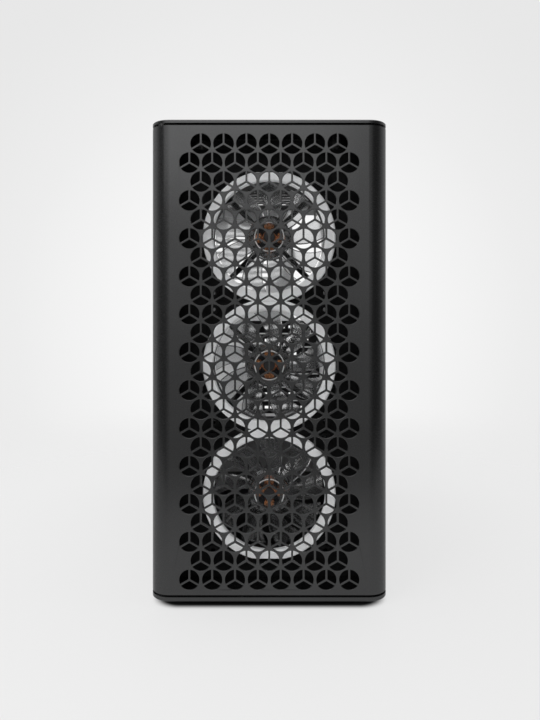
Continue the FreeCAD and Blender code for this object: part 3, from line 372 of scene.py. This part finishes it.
def foot_rubber(colour):
    """Dull rubber with a coarse grain."""
    finish = Finish("foot_rubber", colour, metallic=0.0, roughness=0.8)
    grain = finish.noise(scale=900, detail=4)
    finish.colour_from(grain, tint(colour, 0.8), tint(colour, 1.25))
    finish.bump_from(grain, strength=0.4, distance=0.0004)
    return finish.material


def solder_mask(colour):
    """Lacquered circuit board."""
    finish = Finish("solder_mask", colour, metallic=0.0, roughness=0.35)
    cloud = finish.noise(scale=220, detail=4)
    finish.colour_from(cloud, tint(colour, 0.7), tint(colour, 1.4))
    return finish.material


def filter_net(colour):
    """Fine woven net."""
    finish = Finish("filter_net", colour, metallic=0.0, roughness=0.6)
    threads = [finish.bands(direction, scale=190).outputs["Fac"] for direction in ("X", "Y")]
    weave = finish.maths("MAXIMUM", *threads)
    finish.colour_from(weave, tint(colour, 0.35), tint(colour, 1.6))
    finish.bump_from(weave, strength=0.6, distance=0.0004)
    return finish.material


# Piece helpers
def wear(node, material, bevel=0.0, segments=1):
    """Give a CAD node its finish and soften its edges."""
    piece = NODES[node]
    piece.data.materials.clear()
    piece.data.materials.append(material)
    if bevel > 0:
        weld = piece.modifiers.new("weld", "WELD")
        weld.merge_threshold = WELD_REACH
        edge = piece.modifiers.new("edge", "BEVEL")
        edge.width = bevel
        edge.segments = segments
        edge.limit_method = "ANGLE"
        edge.angle_limit = SHARP_ANGLE
        edge.use_clamp_overlap = True
        even = piece.modifiers.new("even", "WEIGHTED_NORMAL")
        even.keep_sharp = True


def new_object(name, shape, material):
    """Turn a finished bmesh into an object in the scene."""
    mesh = bpy.data.meshes.new(name)
    shape.to_mesh(mesh)
    shape.free()
    mesh.materials.append(material)
    item = bpy.data.objects.new(name, mesh)
    bpy.context.scene.collection.objects.link(item)
    return item


def new_piece(name, shape, material, body):
    """Turn a finished bmesh into a piece that rides on a body."""
    piece = new_object(name, shape, material)
    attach(piece, body)
    return piece


def side_frame(low, high, corners, width, thickness):
    """A flat frame in a plane across X with rounded corners outside and inside."""
    shape = bmesh.new()
    for inset, corner in zip((0, width), corners):
        near, far = low[1] + inset, high[1] - inset
        bottom, top = low[2] + inset, high[2] - inset
        outline = ((near, bottom), (far, bottom), (far, top), (near, top))
        points = [shape.verts.new((low[0], y, z)) for y, z in outline]
        shape.faces.new(points)
        bmesh.ops.bevel(shape, geom=points, offset=corner, offset_type="OFFSET",
                        affect="VERTICES", segments=CORNER_STEPS, profile=0.5, material=-1)
    bmesh.ops.delete(shape, geom=shape.faces[:], context="FACES_ONLY")
    rim = bmesh.ops.bridge_loops(shape, edges=shape.edges[:])["faces"]
    raised = bmesh.ops.extrude_face_region(shape, geom=rim)["geom"]
    points = [item for item in raised if isinstance(item, bmesh.types.BMVert)]
    bmesh.ops.translate(shape, vec=(thickness, 0, 0), verts=points)
    bmesh.ops.recalc_face_normals(shape, faces=shape.faces[:])
    return shape


def hoop(centre, radius, wire):
    """A round wire hoop about a line along Y."""
    shape = bmesh.new()
    bmesh.ops.create_circle(shape, radius=wire, segments=TRIM_SIDES,
                            matrix=Matrix.Translation(centre + Vector((radius, 0, 0))))
    bmesh.ops.spin(shape, geom=shape.verts[:] + shape.edges[:], cent=centre, axis=(0, 1, 0),
                   angle=math.tau, steps=TRIM_STEPS, use_merge=True)
    bmesh.ops.remove_doubles(shape, verts=shape.verts[:], dist=TRIM_MERGE)
    bmesh.ops.recalc_face_normals(shape, faces=shape.faces[:])
    for face in shape.faces:
        face.smooth = True
    return shape


# Studio helpers
def glow_floor(colour, glow):
    """Pale floor with a light real shadow and a shadow painted dark under the base, that fades out
    away from the case.
    """
    finish = Finish("studio_floor", colour, metallic=0.0, roughness=FLOOR_ROUGHNESS)
    low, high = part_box("base_plate")
    middle = [(first + last) / 2 for first, last in zip(low, high)]
    reach = [(last - first) / 2 - CONTACT_CORNER - inset
             for first, last, inset in zip(low, high, CONTACT_INSET)]
    folded = finish.vector("ABSOLUTE", finish.vector("SUBTRACT", finish.place, middle))
    beyond = finish.vector("MAXIMUM", finish.vector("SUBTRACT", folded, reach))
    outside = finish.length(finish.vector("MULTIPLY", beyond, (1, 1, 0)))
    edge = (CONTACT_CORNER - CONTACT_BLUR, CONTACT_CORNER + CONTACT_BLUR)
    # Share of the floor clear of the painted shadow; it also lets real shading show under the base
    clear_of_painted_shadow = finish.remap(outside, edge, high=glow, curve="SMOOTHSTEP")
    # Shadow painted into the floor's colour, dark under the base and clearing just past its edge
    painted_shadow = finish.ramp(clear_of_painted_shadow, ((0.0, tint(colour, PAINTED_SHADOW_TINT)), (glow, colour)))
    finish.join(painted_shadow, finish.shader.inputs["Base Color"])
    rays = finish.add("ShaderNodeLightPath").outputs
    seen = finish.maths("MAXIMUM", rays["Is Camera Ray"], rays["Is Glossy Ray"])
    seen = finish.maths("MAXIMUM", seen, rays["Is Transmission Ray"])
    white = finish.add("ShaderNodeEmission")
    white.inputs["Color"].default_value = (*colour, 1)
    pale = finish.mix_shaders(finish.maths("MULTIPLY", clear_of_painted_shadow, seen),
                              finish.shader.outputs["BSDF"], white.outputs["Emission"])
    away = finish.remap(finish.length(finish.place), FADE_AWAY, curve="SMOOTHSTEP")
    ahead = finish.remap(finish.split(finish.place)["Y"], FADE_AHEAD, curve="SMOOTHSTEP")
    clear = finish.add("ShaderNodeBsdfTransparent")
    surface = finish.mix_shaders(finish.maths("MAXIMUM", away, ahead), pale,
                                 clear.outputs["BSDF"])
    finish.join(surface, finish.output.inputs["Surface"])
    return finish.material


def studio_world():
    """A soft room: pale behind the case, and a bright wall between dark sides in front of it."""
    world = bpy.data.worlds.new("studio")
    bpy.context.scene.world = world
    world.use_nodes = True
    wiring = Wiring(world.node_tree)
    direction = wiring.split(wiring.add("ShaderNodeTexCoord").outputs["Generated"])

    def shades(source, stops, low):
        """Brightness along a part of the direction that runs from low to 1."""
        greys = [((position - low) / (1 - low), (value,) * 3) for position, value in stops]
        return wiring.ramp(wiring.remap(source, (low, 1)), greys, "B_SPLINE")

    sideways = wiring.maths("ABSOLUTE", direction["X"])
    wall = wiring.vector("MULTIPLY", shades(sideways, FRONT_SIDE, 0),
                         shades(direction["Z"], FRONT_RISE, -1))
    room = wiring.add("ShaderNodeMixRGB")
    wiring.join(wiring.remap(direction["Y"], FRONT_TO_REAR, curve="SMOOTHSTEP"),
                room.inputs["Fac"])
    wiring.join(wall, room.inputs["Color1"])
    wiring.join(shades(direction["Y"], REAR_DEPTH, 0), room.inputs["Color2"])
    wiring.join(room.outputs["Color"], world.node_tree.nodes["Background"].inputs["Color"])


def soft_lamp(name, place, target, width, height, power, mirrored):
    """A rectangular lamp turned towards a point."""
    data = bpy.data.lights.new(name, "AREA")
    data.shape = "RECTANGLE"
    data.size = width
    data.size_y = height
    data.energy = power
    lamp = bpy.data.objects.new(name, data)
    lamp.location = place
    lamp.rotation_euler = (Vector(target) - Vector(place)).to_track_quat("-Z", "Y").to_euler()
    lamp.visible_glossy = mirrored
    bpy.context.scene.collection.objects.link(lamp)


def front_camera(distance, eye_height, frame_height):
    """A level camera square to the front panel."""
    data = bpy.data.cameras.new("camera")
    data.sensor_width = SENSOR_WIDTH
    data.lens = SENSOR_WIDTH * distance / frame_height
    data.shift_x, data.shift_y = CAMERA_SHIFT
    camera = bpy.data.objects.new("camera", data)
    camera.location = (0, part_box("front_panel")[0][1] - distance, eye_height)
    camera.rotation_euler = (math.radians(90), 0, 0)
    bpy.context.scene.collection.objects.link(camera)
    bpy.context.scene.camera = camera


# User settings
class ShellSettings(bpy.types.PropertyGroup):
    """Outer panels."""

    coat_colour: FloatVectorProperty(
        name="Coat", description="Colour of the outer panels", subtype="COLOR", size=3,
        min=0, max=1, default=(0.06, 0.0605, 0.061))
    coat_roughness: FloatProperty(
        name="Coat roughness", description="How matt the outer panels are", subtype="FACTOR",
        min=0, max=1, default=0.24)
    rim_bevel: FloatProperty(
        name="Grille rim", description="Rounded rim of the grille cells", unit="LENGTH",
        min=0, max=0.0006, default=0.00045)
    edge_bevel: FloatProperty(
        name="Edge", description="Broken edge of punched and bent sheet", unit="LENGTH",
        min=0, max=0.002, default=0.00025)
    border_width: FloatProperty(
        name="Glass border", description="Width of the printed border of the glass",
        unit="LENGTH", min=0.002, max=0.05, default=0.017)
    glass_tint: FloatVectorProperty(
        name="Glass tint", description="Colour of the glass side", subtype="COLOR", size=3,
        min=0, max=1, default=(0.05, 0.055, 0.06))


class ChassisSettings(bpy.types.PropertyGroup):
    """Steel inside the case."""

    zinc_colour: FloatVectorProperty(
        name="Zinc", description="Colour of the bare inner sheet", subtype="COLOR", size=3,
        min=0, max=1, default=(0.8, 0.805, 0.81))
    grommet_lip: FloatProperty(
        name="Grommet lip", description="Width of the rubber trim round a cable window",
        unit="LENGTH", min=0.001, max=0.01, default=0.0034)
    black_colour: FloatVectorProperty(
        name="Black", description="Colour of the black coated sheet", subtype="COLOR", size=3,
        min=0, max=1, default=(0.006, 0.006, 0.0063))
    plastic_colour: FloatVectorProperty(
        name="Plastic", description="Colour of the black mouldings", subtype="COLOR", size=3,
        min=0, max=1, default=(0.016, 0.016, 0.017))


class FanSettings(bpy.types.PropertyGroup):
    """Intake fans."""

    ring_colour: FloatVectorProperty(
        name="Ring", description="Colour of the milky light ring", subtype="COLOR", size=3,
        min=0, max=1, default=(0.84, 0.845, 0.85))
    blade_colour: FloatVectorProperty(
        name="Blades", description="Colour of the clear rotor", subtype="COLOR", size=3,
        min=0, max=1, default=(0.72, 0.725, 0.73))
    copper_colour: FloatVectorProperty(
        name="Copper", description="Colour of the windings", subtype="COLOR", size=3,
        min=0, max=1, default=(1.0, 0.4, 0.15))


class StageSettings(bpy.types.PropertyGroup):
    """Studio."""

    distance: FloatProperty(
        name="Distance", description="From the lens to the front of the case", unit="LENGTH",
        min=0.2, max=5, default=0.58)
    eye_height: FloatProperty(
        name="Eye height", description="Height of the lens above the floor", unit="LENGTH",
        min=0, max=2, default=0.2623)
    frame_height: FloatProperty(
        name="Frame height", description="Height of the picture at the front of the case",
        unit="LENGTH", min=0.1, max=5, default=0.6491)
    floor_colour: FloatVectorProperty(
        name="Floor", description="Colour of the floor", subtype="COLOR", size=3,
        min=0, max=1, default=(0.82, 0.82, 0.82))
    floor_glow: FloatProperty(
        name="Floor glow", description="How far the floor shows its colour apart from shadow",
        subtype="FACTOR", min=0, max=1, default=0.84)


# Operators
class CASE_OT_shell(bpy.types.Operator):
    """Finish the front panel, lid, base and both sides"""

    bl_idname = "atx_case.shell"
    bl_label = "Outer panels"

    def execute(self, context):
        settings = context.scene.atx_shell
        coat = charcoal_coat(settings.coat_colour, settings.coat_roughness)
        wear("front_panel", coat, settings.rim_bevel, ROUND_STEPS)
        for node in ("top_lid", "base_plate", "right_side_panel", "front_panel_brackets"):
            wear(node, coat, settings.edge_bevel)
        wear("left_glass", side_glass(settings.glass_tint))
        low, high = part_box("left_glass")
        border = side_frame(
            (high[0] + BORDER_LIFT, low[1] + BORDER_MARGIN, low[2] + BORDER_MARGIN),
            (high[0], high[1] - BORDER_MARGIN, high[2] - BORDER_MARGIN),
            BORDER_CORNERS, settings.border_width, BORDER_THICKNESS)
        enamel = moulded_plastic("printed_enamel", ENAMEL_COLOUR, roughness=0.3)
        new_piece("glass_border", border, enamel, "left_panel")
        return {"FINISHED"}


class CASE_OT_chassis(bpy.types.Operator):
    """Finish the steel sheets, covers, posts and feet, and trim the cable windows"""

    bl_idname = "atx_case.chassis"
    bl_label = "Chassis"

    def execute(self, context):
        settings = context.scene.atx_chassis
        zinc = zinc_sheet(settings.zinc_colour)
        black = powder_black(settings.black_colour)
        plastic = moulded_plastic("moulded_black", settings.plastic_colour, roughness=0.5)
        bright = turned_metal("bright_steel", STEEL_COLOUR, roughness=0.28)
        brass = turned_metal("plain_brass", BRASS_COLOUR, roughness=0.3)
        rubber = foot_rubber(RUBBER_COLOUR)
        for node in ("rear_panel", "motherboard_tray", "slot_shelf"):
            wear(node, zinc)
        for node in ("front_frame", "psu_shroud", "top_plate", "drive_cage", "left_glass_strips"):
            wear(node, black, SHEET_EDGE)
        for number in SLOTS:
            wear("slot_cover_%d" % number, black, SHEET_EDGE)
        for node in ("panel_sockets", "drive_tray_1", "drive_tray_2"):
            wear(node, plastic, MOULDED_EDGE)
        for node in ("front_panel_studs", "left_glass_studs", "right_panel_studs",
                     "top_lid_studs", "slot_screws", "fan_screws"):
            wear(node, bright, TURNED_EDGE)
        wear("motherboard_standoffs", brass, TURNED_EDGE)
        for corner in ("front_left", "front_right", "rear_left", "rear_right"):
            wear("foot_" + corner, rubber, SOFT_EDGE)
        wear("psu_filter", filter_net(NET_COLOUR), SHEET_EDGE)
        self.trim_windows(rubber, settings.grommet_lip)
        return {"FINISHED"}

    def trim_windows(self, rubber, lip):
        """Put a rubber trim round each cable window of the tray."""
        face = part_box("motherboard_tray")[0][0]
        for opening in frame["record"]["physics"]["openings"]:
            if not opening["name"].startswith("cable_window"):
                continue
            low, high = opening["box_m"]
            trim = side_frame((face - GROMMET_STAND, low[1] - lip, low[2] - lip),
                              (face, high[1] + lip, high[2] + lip),
                              GROMMET_CORNERS, lip, GROMMET_THICKNESS)
            name = opening["name"].replace("window", "grommet")
            piece = new_piece(name, trim, rubber, "chassis")
            edge = piece.modifiers.new("edge", "BEVEL")
            edge.width = GROMMET_EDGE
            edge.segments = ROUND_STEPS


class CASE_OT_fans(bpy.types.Operator):
    """Finish the three intake fans"""

    bl_idname = "atx_case.fans"
    bl_label = "Fans"

    def execute(self, context):
        settings = context.scene.atx_fans
        plastic = moulded_plastic("fan_black", FAN_COLOUR, roughness=0.6, shine=0.12)
        milky = milky_plastic(settings.ring_colour)
        clear = clear_plastic(settings.blade_colour)
        smoke = smoke_clear(SMOKE_COLOUR)
        copper = wound_copper(settings.copper_colour)
        white = moulded_plastic("hub_white", HUB_TRIM_COLOUR, roughness=0.4)
        shaft = moulded_plastic("hub_black", SHAFT_COLOUR, roughness=0.35, shine=0.4)
        for number in FANS:
            wear("fan_%d_frame" % number, plastic, MOULDED_EDGE)
            wear("fan_%d_ring" % number, milky, MOULDED_EDGE)
            wear("fan_%d_rotor" % number, clear)
            wear("fan_%d_hub_cap" % number, smoke)
            wear("fan_%d_windings" % number, copper)
            wear("fan_%d_shaft" % number, shaft, SHEET_EDGE)
            low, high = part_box("fan_%d_hub_cap" % number)
            centre = Vector(((low[0] + high[0]) / 2, low[1] - TRIM_LIFT, (low[2] + high[2]) / 2))
            trim = hoop(centre, (high[0] - low[0]) / 2 + TRIM_GAP, TRIM_WIRE)
            new_piece("fan_%d_hub_trim" % number, trim, white, "rotor_%d" % number)
        return {"FINISHED"}


class CASE_OT_controls(bpy.types.Operator):
    """Finish the buttons and ports that reach through the lid"""

    bl_idname = "atx_case.controls"
    bl_label = "Buttons and ports"

    def execute(self, context):
        metal = turned_metal("button_metal", BUTTON_COLOUR, roughness=0.35)
        plastic = moulded_plastic("guide_black", GUIDE_COLOUR, roughness=0.5)
        bright = turned_metal("port_steel", PORT_COLOUR, roughness=0.3)
        for node in ("power_button", "reset_button"):
            wear(node, metal, MOULDED_EDGE, ROUND_STEPS)
        wear("io_bezel", plastic, SOFT_EDGE)
        wear("usb_ports", bright, FINE_EDGE)
        wear("audio_jack", plastic, SHEET_EDGE)
        wear("io_board", solder_mask(BOARD_COLOUR), FINE_EDGE)
        return {"FINISHED"}


class CASE_OT_stage(bpy.types.Operator):
    """Lay the floor, light the case and set the camera"""

    bl_idname = "atx_case.stage"
    bl_label = "Studio"

    def execute(self, context):
        settings = context.scene.atx_stage
        shape = bmesh.new()
        bmesh.ops.create_circle(shape, cap_ends=True, radius=FLOOR_RADIUS, segments=FLOOR_SIDES)
        pale = glow_floor(settings.floor_colour, settings.floor_glow)
        floor = new_object("studio_floor", shape, pale)
        studio_world()
        for lamp in LAMPS:
            soft_lamp(*lamp)
        front_camera(settings.distance, settings.eye_height, settings.frame_height)
        context.scene.view_settings.view_transform = "Standard"
        return {"FINISHED"}


class CASE_PT_finishes(bpy.types.Panel):
    """Finishes and studio of the case"""

    bl_idname = "CASE_PT_finishes"
    bl_label = "ATX Case"
    bl_space_type = "VIEW_3D"
    bl_region_type = "UI"
    bl_category = "ATX Case"

    def draw(self, context):
        for name, group in SETTINGS:
            for key in group.__annotations__:
                self.layout.prop(getattr(context.scene, name), key)
        for operator in OPERATORS:
            self.layout.operator(operator.bl_idname)


SETTINGS = (("atx_shell", ShellSettings), ("atx_chassis", ChassisSettings),
            ("atx_fans", FanSettings), ("atx_stage", StageSettings))
OPERATORS = (CASE_OT_shell, CASE_OT_chassis, CASE_OT_fans, CASE_OT_controls, CASE_OT_stage)


def register():
    for name, group in SETTINGS:
        bpy.utils.register_class(group)
        setattr(bpy.types.Scene, name, PointerProperty(type=group))
    for item in OPERATORS + (CASE_PT_finishes,):
        bpy.utils.register_class(item)


def unregister():
    for item in (CASE_PT_finishes,) + OPERATORS[::-1]:
        bpy.utils.unregister_class(item)
    for name, group in SETTINGS[::-1]:
        delattr(bpy.types.Scene, name)
        bpy.utils.unregister_class(group)


def main():
    register()
    bpy.ops.atx_case.shell()
    bpy.ops.atx_case.chassis()
    bpy.ops.atx_case.fans()
    bpy.ops.atx_case.controls()
    bpy.ops.atx_case.stage()


if __name__ == "__main__":
    main()
